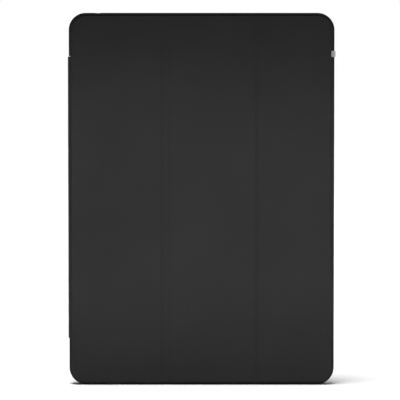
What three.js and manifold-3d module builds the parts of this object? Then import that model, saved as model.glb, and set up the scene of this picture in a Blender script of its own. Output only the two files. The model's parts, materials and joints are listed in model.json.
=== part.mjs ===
// A tri-fold tablet case: a moulded tray that grips the tablet, and a cover of three stiff
// panels that a flat spine joins to the tray's left edge. The cover is shut.
//
// Millimetres. +Z is up the case's long side, +X is to the right of someone facing the cover,
// and the cover faces -Y. The case stands on its short bottom edge at z = 0.

import * as THREE from 'three';
import { mergeVertices } from 'three/addons/utils/BufferGeometryUtils.js';
import Module from 'manifold-3d';

const wasm = await Module();
wasm.setup();

// ---- driving dimensions ----

// the tablet that the tray is moulded for
const TABLET_WIDTH = 169.5;
const TABLET_HEIGHT = 240;
const TABLET_DEPTH = 7.5;
const TABLET_SLACK = 0.15;
const DEPTH_SLACK = 0.1;

// the tray
const WALL = 2.5;
const BACK_PLATE = 1.6;
const LIP_THICKNESS = 0.7;
const LIP_OVERHANG = 1.2;
const OUTER_CORNER = 11.2;
const REAR_EDGE_ROUND = 1.5;
const FRONT_EDGE_ROUND = 0.3;
const LINING_THICKNESS = 0.4;
const LINING_EDGE_GAP = 0.3;
const LINING_HOLE_MARGIN = 1;

// the cover's laminate
const SKIN = 0.7;
const BOARD = 1.2;
const BOND_GAP = 0.05;
const COVER_THICKNESS = 2.5;
const COVER_TO_LIP = 0.3;
const COVER_INSET = 2.2;
const SKIN_EDGE_WALL = 0.9;
const SKIN_EDGE_SHORT = 0.1;
const EDGE_CLEARANCE = 0.15;

// the folds, where only skin and lining run on
const FOLD_1_X = -23.5;
const FOLD_2_X = 38.9;
const WEB_HALF_WIDTH = 4;
const OUTER_GROOVE_DEPTH = 0.28;
const OUTER_GROOVE_SIDE = 1.4;
const INNER_GROOVE_SIDE = 1;
const BOARD_FROM_WEB = 0.2;
const HINGE_GAP = 0.3;

// the spine
const SPINE_LOW = 30.8;
const SPINE_HIGH = 216.7;
const SPINE_PROUD = 0.6;
const SPINE_THICKNESS = 1.5;
const SPINE_STIFFENER = 0.45;
const SPINE_LINING = 0.3;
const STIFFENER_FROM_BEND = 0.4;
const LINING_FROM_BEND = 0.2;
const FRONT_BEND = 3;
const REAR_BEND = 2.5;
const BEND_OVERLAP = 1;
const BEND_SPLIT_ANGLE = THREE.MathUtils.degToRad(2.9);
const ANCHOR_THICKNESS = 1.1;
const ANCHOR_PROUD = 0.3;
const ANCHOR_RIGHT_X = -66;
const SEAT_CLEARANCE = 0.1;

// the camera opening and its collar
const CAMERA_FROM_SIDE = 15.7;
const CAMERA_FROM_TOP = 16.2;
const CAMERA_RADIUS = 6.25;
const COLLAR_RADIUS = 8.5;
const COLLAR_PROUD = 0.6;
const COLLAR_SEAT_DEPTH = 0.6;

// the button covers, which are plugs with a flange on the inside
const BUTTON_WIDTH = 4.4;
const BUTTON_CLEARANCE = 0.3;
const BUTTON_FLANGE = 0.7;
const BUTTON_FLANGE_THICKNESS = 0.7;
const BUTTON_INNER_GAP = 0.2;
const POWER_LENGTH = 12;
const POWER_X = 62;
const VOLUME_LENGTH = 13;
const VOLUME_UP_FROM_TOP = 42;
const VOLUME_DOWN_FROM_TOP = 60;

// openings in the bottom and top walls
const PORT_LENGTH = 15;
const PORT_WIDTH = 6.2;
const SPEAKER_LENGTH = 28;
const SPEAKER_WIDTH = 5;
const SPEAKER_X = 52;
const HEADPHONE_RADIUS = 4;
const HEADPHONE_X = -68;
const MICROPHONE_RADIUS = 1.5;

// what the boards hold
const MAGNET_LENGTH = 22;
const MAGNET_WIDTH = 7;
const MAGNET_THICKNESS = 1;
const MAGNET_COUNT = 5;
const MAGNET_PITCH = 44;
const MAGNET_FROM_EDGE = 6.5;
const INSERT_CORNER = 1;
const WAKE_MAGNET_SIZE = 10;
const WAKE_MAGNET_X = 50;
const WAKE_MAGNET_FROM_TOP = 100;
const KEEPER_WIDTH = 12;
const KEEPER_LENGTH = 170;
const KEEPER_FROM_SPINE = 12;

// the pull tag, a folded loop of woven tape
const TAG_WIDTH = 4;
const TAG_THICKNESS = 1;
const TAG_ROOT = 3;
const TAG_FROM_TOP = 27;
const TAG_SLOT_CLEARANCE = 0.1;

// how finely an arc is drawn, and the flat that is left between two round ends
const ARC_STEPS = 3;
const END_FLAT = 0.01;

// how far a cutting solid reaches out of the case, and past a face with others close by
const CUT_MARGIN = 5;
const CUT_THROUGH = 1;

// corners closer than this are one corner
const MERGE_DISTANCE = 1e-4;

// ---- what follows from them ----

const BAY_WIDTH = TABLET_WIDTH + 2 * TABLET_SLACK;
const BAY_HEIGHT = TABLET_HEIGHT + 2 * TABLET_SLACK;
const BAY_DEPTH = TABLET_DEPTH + DEPTH_SLACK;
const HALF_WIDTH = BAY_WIDTH / 2 + WALL;
const HEIGHT = BAY_HEIGHT + 2 * WALL;
const DEPTH = COVER_THICKNESS + COVER_TO_LIP + LIP_THICKNESS + BAY_DEPTH
  + LINING_THICKNESS + BACK_PLATE + COLLAR_PROUD;

// faces across the depth, from the cover's face to the tray's back
const COVER_FACE = -DEPTH / 2;
const COVER_BACK = COVER_FACE + COVER_THICKNESS;
const LIP_FACE = COVER_BACK + COVER_TO_LIP;
const BAY_FRONT = LIP_FACE + LIP_THICKNESS;
const LINING_FACE = BAY_FRONT + BAY_DEPTH;
const PLATE_FACE = LINING_FACE + LINING_THICKNESS;
const BACK_FACE = PLATE_FACE + BACK_PLATE;
const BAY_MIDDLE = (BAY_FRONT + LINING_FACE) / 2;

const SKIN_BACK = COVER_FACE + SKIN;
const BOARD_FACE = SKIN_BACK + BOND_GAP;
const BOARD_BACK = BOARD_FACE + BOARD;
const COVER_LINING_FACE = COVER_BACK - LINING_THICKNESS;
const WEB_LINING_FACE = SKIN_BACK + OUTER_GROOVE_DEPTH + BOND_GAP;
const SKIN_WALL_BACK = COVER_BACK - SKIN_EDGE_SHORT;

const SPINE_FACE = -HALF_WIDTH - SPINE_PROUD;
const SPINE_BACK = SPINE_FACE + SPINE_THICKNESS;
const SPINE_SEAT = SPINE_BACK + SEAT_CLEARANCE;
const ANCHOR_FACE = BACK_FACE + ANCHOR_PROUD;
const ANCHOR_BACK = ANCHOR_FACE - ANCHOR_THICKNESS;
const FRONT_BEND_X = SPINE_FACE + FRONT_BEND;
const FRONT_BEND_Y = COVER_FACE + FRONT_BEND;
const REAR_BEND_X = SPINE_FACE + REAR_BEND;
const REAR_BEND_Y = ANCHOR_FACE - REAR_BEND;
const COVER_RIGHT = HALF_WIDTH - COVER_INSET;
const CAMERA_X = HALF_WIDTH - CAMERA_FROM_SIDE;
const CAMERA_Z = HEIGHT - CAMERA_FROM_TOP;
const TAG_Z = HEIGHT - TAG_FROM_TOP;

// ---- solids and cuts ----

function toSolid(geometry) {
  geometry.deleteAttribute('normal');
  geometry.deleteAttribute('uv');
  const merged = mergeVertices(geometry, MERGE_DISTANCE);
  const mesh = new wasm.Mesh({
    numProp: 3,
    vertProperties: new Float32Array(merged.attributes.position.array),
    triVerts: new Uint32Array(merged.index.array),
  });
  return new wasm.Manifold(mesh);
}

function toGeometry(solid) {
  const mesh = solid.getMesh();
  const geometry = new THREE.BufferGeometry();
  geometry.setAttribute('position', new THREE.BufferAttribute(mesh.vertProperties, 3));
  geometry.setIndex(new THREE.BufferAttribute(mesh.triVerts, 1));
  return geometry;
}

// a shape drawn in X and Z, made solid from the depth yFront back to yRear
function plate(shape, yFront, yRear, edge = 0) {
  const geometry = new THREE.ExtrudeGeometry(shape, {
    depth: yRear - yFront - 2 * edge,
    bevelEnabled: edge > 0,
    bevelThickness: edge,
    bevelSize: edge,
    bevelOffset: -edge,
    bevelSegments: 3,
    curveSegments: ARC_STEPS,
  });
  geometry.rotateX(Math.PI / 2);
  geometry.translate(0, yRear - edge, 0);
  return toSolid(geometry);
}

// a shape drawn in X and Y, made solid from the height zLow up to zHigh
function bar(shape, zLow, zHigh) {
  const geometry = new THREE.ExtrudeGeometry(shape, {
    depth: zHigh - zLow,
    bevelEnabled: false,
    curveSegments: ARC_STEPS,
  });
  geometry.translate(0, 0, zLow);
  return toSolid(geometry);
}

function block(x0, x1, y0, y1, z0, z1) {
  const geometry = new THREE.BoxGeometry(x1 - x0, y1 - y0, z1 - z0);
  geometry.translate((x0 + x1) / 2, (y0 + y1) / 2, (z0 + z1) / 2);
  return toSolid(geometry);
}

function roundedRect(x0, x1, y0, y1, radius) {
  const quarter = Math.PI / 2;
  const shape = new THREE.Shape();
  shape.moveTo(x0 + radius, y0);
  shape.absarc(x1 - radius, y0 + radius, radius, -quarter, 0);
  shape.absarc(x1 - radius, y1 - radius, radius, 0, quarter);
  shape.absarc(x0 + radius, y1 - radius, radius, quarter, 2 * quarter);
  shape.absarc(x0 + radius, y0 + radius, radius, 2 * quarter, 3 * quarter);
  return shape;
}

function disc(x, y, radius) {
  const shape = new THREE.Shape();
  for (let quarter = 0; quarter < 4; quarter += 1) {
    shape.absarc(x, y, radius, quarter * Math.PI / 2, (quarter + 1) * Math.PI / 2);
  }
  return shape;
}

function polygon(points) {
  return new THREE.Shape(points.map(([x, y]) => new THREE.Vector2(x, y)));
}

// the case's front outline, drawn in by some distance
function outline(inset) {
  const radius = OUTER_CORNER - inset;
  return roundedRect(inset - HALF_WIDTH, HALF_WIDTH - inset, inset, HEIGHT - inset, radius);
}

// ---- the tray ----

function trayBody() {
  const rear = plate(outline(0), LIP_FACE + CUT_THROUGH, BACK_FACE, REAR_EDGE_ROUND);
  const front = plate(outline(0), LIP_FACE, BAY_MIDDLE, FRONT_EDGE_ROUND);
  const bay = plate(outline(WALL), BAY_FRONT, PLATE_FACE);
  const mouth = plate(outline(WALL + LIP_OVERHANG), LIP_FACE - CUT_MARGIN, BAY_MIDDLE);
  return rear.add(front).subtract(bay).subtract(mouth);
}

// the seat of the spine in the left wall, and of the bonded strip in the back
function spineSeat() {
  const low = SPINE_LOW - HINGE_GAP;
  const high = SPINE_HIGH + HINGE_GAP;
  const side = block(SPINE_FACE - CUT_MARGIN, SPINE_SEAT,
    LIP_FACE - CUT_MARGIN, BACK_FACE + CUT_MARGIN, low, high);
  const back = block(SPINE_FACE - CUT_MARGIN, ANCHOR_RIGHT_X + HINGE_GAP,
    ANCHOR_BACK - BOND_GAP, BACK_FACE + CUT_MARGIN, low, high);
  return side.add(back);
}

function bottomOpenings() {
  const slot = (x, length, width) => roundedRect(x - length / 2, x + length / 2,
    BAY_MIDDLE - width / 2, BAY_MIDDLE + width / 2, width / 2 - END_FLAT);
  const shapes = [
    slot(0, PORT_LENGTH, PORT_WIDTH),
    slot(-SPEAKER_X, SPEAKER_LENGTH, SPEAKER_WIDTH),
    slot(SPEAKER_X, SPEAKER_LENGTH, SPEAKER_WIDTH),
  ];
  return shapes.map((shape) => bar(shape, -CUT_MARGIN, WALL + CUT_THROUGH));
}

function topOpenings() {
  const shapes = [
    disc(HEADPHONE_X, BAY_MIDDLE, HEADPHONE_RADIUS),
    disc(0, BAY_MIDDLE, MICROPHONE_RADIUS),
  ];
  const low = HEIGHT - WALL - CUT_THROUGH;
  return shapes.map((shape) => bar(shape, low, HEIGHT + CUT_MARGIN));
}

function cameraOpening() {
  const rear = BACK_FACE + CUT_THROUGH;
  const hole = plate(disc(CAMERA_X, CAMERA_Z, CAMERA_RADIUS), PLATE_FACE - CUT_THROUGH, rear);
  const seat = plate(disc(CAMERA_X, CAMERA_Z, COLLAR_RADIUS + SEAT_CLEARANCE),
    BACK_FACE - COLLAR_SEAT_DEPTH, rear);
  return hole.add(seat);
}

// A button cover as it stands in the top wall, centred on x = 0, grown by some clearance.
// It is a plug with rounded ends, on a flange that is wider than the hole.
function buttonPlug(length, clearance, zInner, flangeThickness, zOuter) {
  const pill = (grow) => roundedRect(-length / 2 - grow, length / 2 + grow,
    BAY_MIDDLE - BUTTON_WIDTH / 2 - grow, BAY_MIDDLE + BUTTON_WIDTH / 2 + grow,
    BUTTON_WIDTH / 2 - END_FLAT + grow);
  const neck = bar(pill(clearance), zInner, zOuter);
  const flange = bar(pill(clearance + BUTTON_FLANGE), zInner, zInner + flangeThickness);
  return neck.add(flange);
}

// moves a solid made for the top wall at x = 0 to its place on the top or the right wall
function onTopWall(solid, x) {
  return solid.translate([x, 0, 0]);
}

function onRightWall(solid, z) {
  return solid.translate([0, 0, HALF_WIDTH - HEIGHT]).rotate([0, 90, 0]).translate([0, 0, z]);
}

function buttonHole(length) {
  const flangeRoom = BUTTON_INNER_GAP + BUTTON_FLANGE_THICKNESS + BUTTON_CLEARANCE;
  return buttonPlug(length, BUTTON_CLEARANCE, HEIGHT - WALL - CUT_THROUGH,
    flangeRoom + CUT_THROUGH, HEIGHT + CUT_MARGIN);
}

function buttonCover(length) {
  return buttonPlug(length, 0, HEIGHT - WALL + BUTTON_INNER_GAP, BUTTON_FLANGE_THICKNESS, HEIGHT);
}

function backShell() {
  const cuts = [
    spineSeat(),
    cameraOpening(),
    ...bottomOpenings(),
    ...topOpenings(),
    onTopWall(buttonHole(POWER_LENGTH), POWER_X),
    onRightWall(buttonHole(VOLUME_LENGTH), HEIGHT - VOLUME_UP_FROM_TOP),
    onRightWall(buttonHole(VOLUME_LENGTH), HEIGHT - VOLUME_DOWN_FROM_TOP),
  ];
  return cuts.reduce((tray, cut) => tray.subtract(cut), trayBody());
}

function shellLining() {
  const sheet = plate(outline(WALL + LINING_EDGE_GAP), LINING_FACE, PLATE_FACE - BOND_GAP);
  const hole = plate(disc(CAMERA_X, CAMERA_Z, CAMERA_RADIUS + LINING_HOLE_MARGIN),
    LINING_FACE - CUT_THROUGH, PLATE_FACE + CUT_THROUGH);
  return sheet.subtract(hole);
}

function cameraCollar() {
  const front = BACK_FACE - COLLAR_SEAT_DEPTH + BOND_GAP;
  const ring = plate(disc(CAMERA_X, CAMERA_Z, COLLAR_RADIUS), front, BACK_FACE + COLLAR_PROUD);
  const hole = plate(disc(CAMERA_X, CAMERA_Z, CAMERA_RADIUS), front - CUT_THROUGH,
    BACK_FACE + COLLAR_PROUD + CUT_THROUGH);
  return ring.subtract(hole);
}

// ---- the spine, and the strip that holds it to the tray's back ----

// The quarter bends are split on their diagonals, which run out to the hinge axes at the
// sharp corners, so either half can turn through half a circle.
function spineSkin() {
  const inner = SPINE_FACE + SKIN;
  const front = 1.25 * Math.PI - BEND_SPLIT_ANGLE;
  const rear = 0.75 * Math.PI + BEND_SPLIT_ANGLE;
  const shape = new THREE.Shape();
  shape.moveTo(SPINE_FACE, FRONT_BEND_Y);
  shape.absarc(FRONT_BEND_X, FRONT_BEND_Y, FRONT_BEND, Math.PI, front);
  shape.absarc(FRONT_BEND_X, FRONT_BEND_Y, FRONT_BEND - SKIN, front, Math.PI, true);
  shape.lineTo(inner, REAR_BEND_Y);
  shape.absarc(REAR_BEND_X, REAR_BEND_Y, REAR_BEND - SKIN, Math.PI, rear, true);
  shape.absarc(REAR_BEND_X, REAR_BEND_Y, REAR_BEND, rear, Math.PI);
  return bar(shape, SPINE_LOW, SPINE_HIGH);
}

function spineStiffener() {
  const face = SPINE_FACE + SKIN + BOND_GAP / 2;
  return block(face, face + SPINE_STIFFENER, FRONT_BEND_Y + STIFFENER_FROM_BEND,
    REAR_BEND_Y - STIFFENER_FROM_BEND, SPINE_LOW + SKIN, SPINE_HIGH - SKIN);
}

function spineLining() {
  return block(SPINE_BACK - SPINE_LINING, SPINE_BACK, FRONT_BEND_Y + LINING_FROM_BEND,
    REAR_BEND_Y - LINING_FROM_BEND, SPINE_LOW + SKIN / 2, SPINE_HIGH - SKIN / 2);
}

function spineAnchor() {
  const split = 0.75 * Math.PI - BEND_SPLIT_ANGLE;
  const shape = new THREE.Shape();
  shape.moveTo(ANCHOR_RIGHT_X, ANCHOR_BACK);
  shape.lineTo(ANCHOR_RIGHT_X, ANCHOR_FACE);
  shape.lineTo(REAR_BEND_X, ANCHOR_FACE);
  shape.absarc(REAR_BEND_X, REAR_BEND_Y, REAR_BEND, Math.PI / 2, split);
  shape.absarc(REAR_BEND_X, REAR_BEND_Y, REAR_BEND - SKIN, split, Math.PI / 2, true);
  shape.lineTo(REAR_BEND_X + SKIN, ANCHOR_BACK);
  return bar(shape, SPINE_LOW, SPINE_HIGH);
}

// ---- the cover ----

// A sheet of the laminate seen from above, from one end to the other. At a fold it shifts
// in depth to the web and stops short of the fold's middle.
function sheetProfile(left, right, face, back, webShift, side) {
  const near = WEB_HALF_WIDTH - side / 2;
  const far = WEB_HALF_WIDTH + side / 2;
  const half = HINGE_GAP / 2;
  const edge = (y) => [
    ...(left.fold ? [[left.x + half, y + webShift], [left.x + near, y + webShift],
      [left.x + far, y]] : [[left.x, y]]),
    ...(right.fold ? [[right.x - far, y], [right.x - near, y + webShift],
      [right.x - half, y + webShift]] : [[right.x, y]]),
  ];
  return polygon([...edge(face), ...edge(back).reverse()]);
}

// the stretch of a panel between its webs, over the whole height
function between(panel, inset, yFront, yRear) {
  const clear = WEB_HALF_WIDTH + OUTER_GROOVE_SIDE / 2 + BOARD_FROM_WEB;
  const x0 = panel.left.x + (panel.left.fold ? clear : -CUT_MARGIN);
  const x1 = panel.right.x - (panel.right.fold ? clear : -CUT_MARGIN);
  const stretch = block(x0, x1, yFront - CUT_THROUGH, yRear + CUT_THROUGH,
    -CUT_MARGIN, HEIGHT + CUT_MARGIN);
  return plate(outline(inset), yFront, yRear).intersect(stretch);
}

// the wall that the skin turns in around a panel's free edges, over the board's edge
function skinEdgeWall(panel) {
  const whole = between(panel, COVER_INSET, SKIN_BACK - SKIN / 2, SKIN_WALL_BACK);
  const inside = plate(outline(COVER_INSET + SKIN_EDGE_WALL), COVER_FACE - CUT_THROUGH, LIP_FACE);
  return whole.subtract(inside);
}

function panelSkin(panel) {
  const profile = sheetProfile(panel.left, panel.right, COVER_FACE, SKIN_BACK,
    OUTER_GROOVE_DEPTH, OUTER_GROOVE_SIDE);
  const sheet = bar(profile, -CUT_MARGIN, HEIGHT + CUT_MARGIN);
  const shape = plate(outline(COVER_INSET), COVER_FACE - CUT_THROUGH, LIP_FACE);
  return sheet.intersect(shape).add(skinEdgeWall(panel));
}

function panelBoard(panel) {
  return between(panel, COVER_INSET + SKIN_EDGE_WALL + EDGE_CLEARANCE, BOARD_FACE, BOARD_BACK);
}

function panelLining(panel) {
  const profile = sheetProfile(panel.left, panel.right, COVER_LINING_FACE, COVER_BACK,
    WEB_LINING_FACE - COVER_LINING_FACE, INNER_GROOVE_SIDE);
  const sheet = bar(profile, -CUT_MARGIN, HEIGHT + CUT_MARGIN);
  const inset = COVER_INSET + SKIN_EDGE_WALL + EDGE_CLEARANCE;
  return sheet.intersect(plate(outline(inset), COVER_FACE - CUT_THROUGH, LIP_FACE));
}

// The first panel's skin runs on into the front half of the bend by the spine, with no
// edge wall there.
function firstPanelSkin(panel) {
  const opening = block(SPINE_FACE - CUT_THROUGH, -HALF_WIDTH + 2 * COVER_INSET + SKIN_EDGE_WALL,
    SKIN_BACK, LIP_FACE, SPINE_LOW - SKIN, SPINE_HIGH + SKIN);
  const split = 1.25 * Math.PI + BEND_SPLIT_ANGLE;
  const shape = new THREE.Shape();
  shape.moveTo(FRONT_BEND_X + BEND_OVERLAP, COVER_FACE);
  shape.lineTo(FRONT_BEND_X + BEND_OVERLAP, SKIN_BACK);
  shape.absarc(FRONT_BEND_X, FRONT_BEND_Y, FRONT_BEND - SKIN, 1.5 * Math.PI, split, true);
  shape.absarc(FRONT_BEND_X, FRONT_BEND_Y, FRONT_BEND, split, 1.5 * Math.PI);
  return panelSkin(panel).subtract(opening).add(bar(shape, SPINE_LOW, SPINE_HIGH));
}

// ---- what the boards hold ----

function keeperPlace(grow) {
  const left = -HALF_WIDTH + KEEPER_FROM_SPINE;
  const low = (HEIGHT - KEEPER_LENGTH) / 2;
  return [left - grow, left + KEEPER_WIDTH + grow, low - grow, low + KEEPER_LENGTH + grow];
}

function magnetPlace(index, grow) {
  const x = COVER_RIGHT - MAGNET_FROM_EDGE;
  const z = HEIGHT / 2 + (index - (MAGNET_COUNT - 1) / 2) * MAGNET_PITCH;
  return [x - MAGNET_WIDTH / 2 - grow, x + MAGNET_WIDTH / 2 + grow,
    z - MAGNET_LENGTH / 2 - grow, z + MAGNET_LENGTH / 2 + grow];
}

function wakeMagnetPlace(grow) {
  const half = WAKE_MAGNET_SIZE / 2 + grow;
  const z = HEIGHT - WAKE_MAGNET_FROM_TOP;
  return [WAKE_MAGNET_X - half, WAKE_MAGNET_X + half, z - half, z + half];
}

function insert([x0, x1, z0, z1]) {
  const front = BOARD_FACE + BOND_GAP;
  return plate(roundedRect(x0, x1, z0, z1, INSERT_CORNER), front, front + MAGNET_THICKNESS);
}

function window([x0, x1, z0, z1]) {
  return block(x0, x1, BOARD_FACE - CUT_THROUGH, BOARD_BACK + CUT_THROUGH, z0, z1);
}

function boardWithWindows(panel, places) {
  return places.reduce((board, place) => board.subtract(window(place)), panelBoard(panel));
}

// ---- the pull tag ----

function tagBlock(grow, x1) {
  const middle = (SKIN_BACK + SKIN_WALL_BACK) / 2;
  const half = TAG_THICKNESS / 2 + grow;
  return block(COVER_RIGHT - TAG_ROOT - grow, x1, middle - half, middle + half,
    TAG_Z - TAG_WIDTH / 2 - grow, TAG_Z + TAG_WIDTH / 2 + grow);
}

function pullTag() {
  return tagBlock(0, HALF_WIDTH + SPINE_PROUD);
}

function tagSlot() {
  return tagBlock(TAG_SLOT_CLEARANCE, HALF_WIDTH + CUT_MARGIN);
}

// ---- the assembly ----

const panels = [
  { left: { x: -HALF_WIDTH + COVER_INSET }, right: { x: FOLD_1_X, fold: true } },
  { left: { x: FOLD_1_X, fold: true }, right: { x: FOLD_2_X, fold: true } },
  { left: { x: FOLD_2_X, fold: true }, right: { x: COVER_RIGHT } },
];

const silicone = { color: 0x35363a, roughness: 0.55, metalness: 0 };
const moulding = { color: 0x202123, roughness: 0.45, metalness: 0 };
const microfibre = { color: 0x4a4b4f, roughness: 0.95, metalness: 0 };
const fibreboard = { color: 0x8d8a80, roughness: 0.8, metalness: 0 };
const magnetPlating = { color: 0xb4b6b8, roughness: 0.3, metalness: 1 };
const springSteel = { color: 0x9a9da0, roughness: 0.35, metalness: 1 };
const collarGloss = { color: 0x141416, roughness: 0.2, metalness: 0 };
const wovenTape = { color: 0xb9bab6, roughness: 0.9, metalness: 0 };

const group = new THREE.Group();

function addPart(name, solid, finish) {
  const mesh = new THREE.Mesh(toGeometry(solid), new THREE.MeshStandardMaterial(finish));
  mesh.name = name;
  group.add(mesh);
}

addPart('back_shell', backShell(), moulding);
addPart('shell_lining', shellLining(), microfibre);
addPart('camera_collar', cameraCollar(), collarGloss);
addPart('spine_anchor', spineAnchor(), silicone);

addPart('spine_skin', spineSkin(), silicone);
addPart('spine_stiffener', spineStiffener(), fibreboard);
addPart('spine_lining', spineLining(), microfibre);

addPart('panel_1_skin', firstPanelSkin(panels[0]), silicone);
addPart('panel_1_board', boardWithWindows(panels[0], [keeperPlace(EDGE_CLEARANCE)]), fibreboard);
addPart('panel_1_lining', panelLining(panels[0]), microfibre);
addPart('keeper_strip', insert(keeperPlace(0)), springSteel);

addPart('panel_2_skin', panelSkin(panels[1]), silicone);
addPart('panel_2_board', panelBoard(panels[1]), fibreboard);
addPart('panel_2_lining', panelLining(panels[1]), microfibre);

const magnetWindows = [wakeMagnetPlace(EDGE_CLEARANCE)];
for (let index = 0; index < MAGNET_COUNT; index += 1) {
  addPart(`closure_magnet_${index + 1}`, insert(magnetPlace(index, 0)), magnetPlating);
  magnetWindows.push(magnetPlace(index, EDGE_CLEARANCE));
}
addPart('wake_magnet', insert(wakeMagnetPlace(0)), magnetPlating);
addPart('panel_3_skin', panelSkin(panels[2]).subtract(tagSlot()), silicone);
addPart('panel_3_board', boardWithWindows(panels[2], magnetWindows).subtract(tagSlot()), fibreboard);
addPart('panel_3_lining', panelLining(panels[2]), microfibre);
addPart('pull_tag', pullTag(), wovenTape);

addPart('power_button_cover', onTopWall(buttonCover(POWER_LENGTH), POWER_X), moulding);
addPart('volume_up_cover', onRightWall(buttonCover(VOLUME_LENGTH), HEIGHT - VOLUME_UP_FROM_TOP),
  moulding);
addPart('volume_down_cover', onRightWall(buttonCover(VOLUME_LENGTH), HEIGHT - VOLUME_DOWN_FROM_TOP),
  moulding);

export default group;
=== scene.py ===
"""Looks for the tri-fold tablet case: fine meshes, procedural materials, camera and light.

Meshes are built in millimetres in the row frame and scaled to metres at the end. +Z is up the
case's long side, the cover faces -Y, and the spine is at -X.
"""

import json
import math

import bmesh
import bpy
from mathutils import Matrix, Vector


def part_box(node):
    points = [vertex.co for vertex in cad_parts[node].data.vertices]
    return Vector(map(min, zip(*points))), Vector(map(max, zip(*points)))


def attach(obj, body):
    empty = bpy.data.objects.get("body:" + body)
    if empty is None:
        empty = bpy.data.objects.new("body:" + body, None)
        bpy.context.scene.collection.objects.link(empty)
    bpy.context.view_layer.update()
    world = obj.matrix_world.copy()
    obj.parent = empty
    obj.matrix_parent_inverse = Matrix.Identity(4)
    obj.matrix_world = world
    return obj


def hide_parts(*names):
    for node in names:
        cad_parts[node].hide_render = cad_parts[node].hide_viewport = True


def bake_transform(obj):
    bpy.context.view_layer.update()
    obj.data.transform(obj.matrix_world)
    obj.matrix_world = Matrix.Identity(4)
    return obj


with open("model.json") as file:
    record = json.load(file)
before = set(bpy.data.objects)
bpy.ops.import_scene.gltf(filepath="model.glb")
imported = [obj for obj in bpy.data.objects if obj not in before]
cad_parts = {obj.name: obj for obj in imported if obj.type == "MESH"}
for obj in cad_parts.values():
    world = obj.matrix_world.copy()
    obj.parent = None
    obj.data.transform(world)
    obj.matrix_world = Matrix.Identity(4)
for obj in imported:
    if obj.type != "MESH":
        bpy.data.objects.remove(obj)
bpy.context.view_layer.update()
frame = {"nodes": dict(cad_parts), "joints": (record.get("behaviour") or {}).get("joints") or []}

MM = 0.001


# ---- places that the frame gives, in millimetres ----


def corners(node):
    """Lowest and highest corner of a CAD node."""
    low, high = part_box(node)
    return [c / MM for c in low], [c / MM for c in high]


def joint_x(name):
    """Where an upright hinge's axis stands, from side to side."""
    joint = next(j for j in frame["joints"] if j["name"] == name)
    return joint["pos_m"][0] / MM


(_, LIP_FACE, _), (HALF_WIDTH, BACK_FACE, HEIGHT) = corners("back_shell")
(_, COVER_FACE, _), _ = corners("panel_2_skin")
_, (COVER_RIGHT, SKIN_WALL_BACK, _) = corners("panel_3_skin")
_, (_, COVER_BACK, _) = corners("panel_2_lining")
(SPINE_FACE, _, SPINE_LOW), (_, _, SPINE_HIGH) = corners("spine_skin")
_, (SPINE_BACK, _, _) = corners("spine_lining")
_, (ANCHOR_RIGHT, ANCHOR_FACE, _) = corners("spine_anchor")
(_, LINING_FACE, _), (_, LINING_BACK, _) = corners("shell_lining")
COLLAR_LOW, COLLAR_HIGH = corners("camera_collar")
TAG_LOW, TAG_HIGH = corners("pull_tag")
STIFFENER_LOW, STIFFENER_HIGH = corners("spine_stiffener")
FOLD_1_X = joint_x("fold_1")
FOLD_2_X = joint_x("fold_2")

# dimensions of the moulded tray
OUTER_CORNER = 11.2
WALL = 2.5
LIP_OVERHANG = 1.2
BAY_FRONT = LIP_FACE + 0.7
PLATE_FACE = LINING_BACK + 0.05
BAY_MIDDLE = (BAY_FRONT + LINING_FACE) / 2
SEAT_X = SPINE_BACK + 0.1
SEAT_GAP = 0.3
ANCHOR_BACK = ANCHOR_FACE - 1.1
ANCHOR_SEAT = ANCHOR_BACK - 0.05
PLAN_ROUND = 2.0
COLLAR_RADIUS = (COLLAR_HIGH[0] - COLLAR_LOW[0]) / 2
CAMERA_RADIUS = COLLAR_RADIUS - 2.25
LINING_FROM_CAMERA = 1

# dimensions of the cover's laminate
COVER_INSET = HALF_WIDTH - COVER_RIGHT
SKIN = 0.7
SKIN_BACK = COVER_FACE + SKIN
BORDER = 0.9
LINING = 0.4
LINING_INSET = COVER_INSET + BORDER + 0.15
EDGE_ROLL = 0.5

# the bends beside the spine
FRONT_BEND = 3.0
REAR_BEND = 2.5
FRONT_CENTRE = (SPINE_FACE + FRONT_BEND, COVER_FACE + FRONT_BEND)
REAR_CENTRE = (SPINE_FACE + REAR_BEND, ANCHOR_FACE - REAR_BEND)
BAND_LINING = 0.3
BAND_ROUND = 0.6
BAND_INNER_ROUND = 0.15
BAND_CLEARANCE = 0.04
BAND_LINING_INSET = 0.5
BAND_LINING_ROUND = 0.1
BURIED_ROUND = 0.03
ROUND_BY_COVER = 0.12
ROUND_EASE = 1.5
SPINE_STRAIGHT = 0.35
REAR_STRAIGHT = 1.5
FRONT_CUT_X = COVER_INSET + BORDER - HALF_WIDTH + 0.02
FRONT_CUT_Y = FRONT_CENTRE[1] + SPINE_STRAIGHT
REAR_CUT_Y = REAR_CENTRE[1] - SPINE_STRAIGHT
REAR_CUT_X = REAR_CENTRE[0] + REAR_STRAIGHT
FRONT_INNER_Y = SKIN_WALL_BACK + 0.05
BEND_STEPS = 40

# the folds
WEB_HALF = 4.7
GROOVE = 0.3
GROOVE_FLAT = 0.7
GROOVE_REACH = 4.5
FOLD_STRIPS = 24
WALL_DIP_FLAT = 3.4
LINING_DIP_FLAT = 3.2
DIP_REACH = 4.4
LINING_DIP_GAP = 0.06

# how far a cutter reaches past what it cuts
BEYOND = 5.0
SEAT_OVERRUN = 7.0
PAST_WALL = 1.0
PAST_PLATE = 3.0

MERGE_DISTANCE = 1e-4
CORNER_STEPS = 12
ROUND_HOLE_STEPS = 16
SHARP_ANGLE = math.radians(38)


# ---- camera, light and floor ----

CAMERA_DISTANCE = 1798.0
CAMERA_RISE = 92.6
CAMERA_LENS = 246.1
SENSOR = 36.0
AIM_X = -1.06
AIM_DROP = 0.36
FLOOR_HALF = 6


def look_at(obj, target):
    obj.rotation_euler = (Vector(target) - obj.location).to_track_quat("-Z", "Y").to_euler()


def link(obj):
    bpy.context.scene.collection.objects.link(obj)
    return obj


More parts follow.
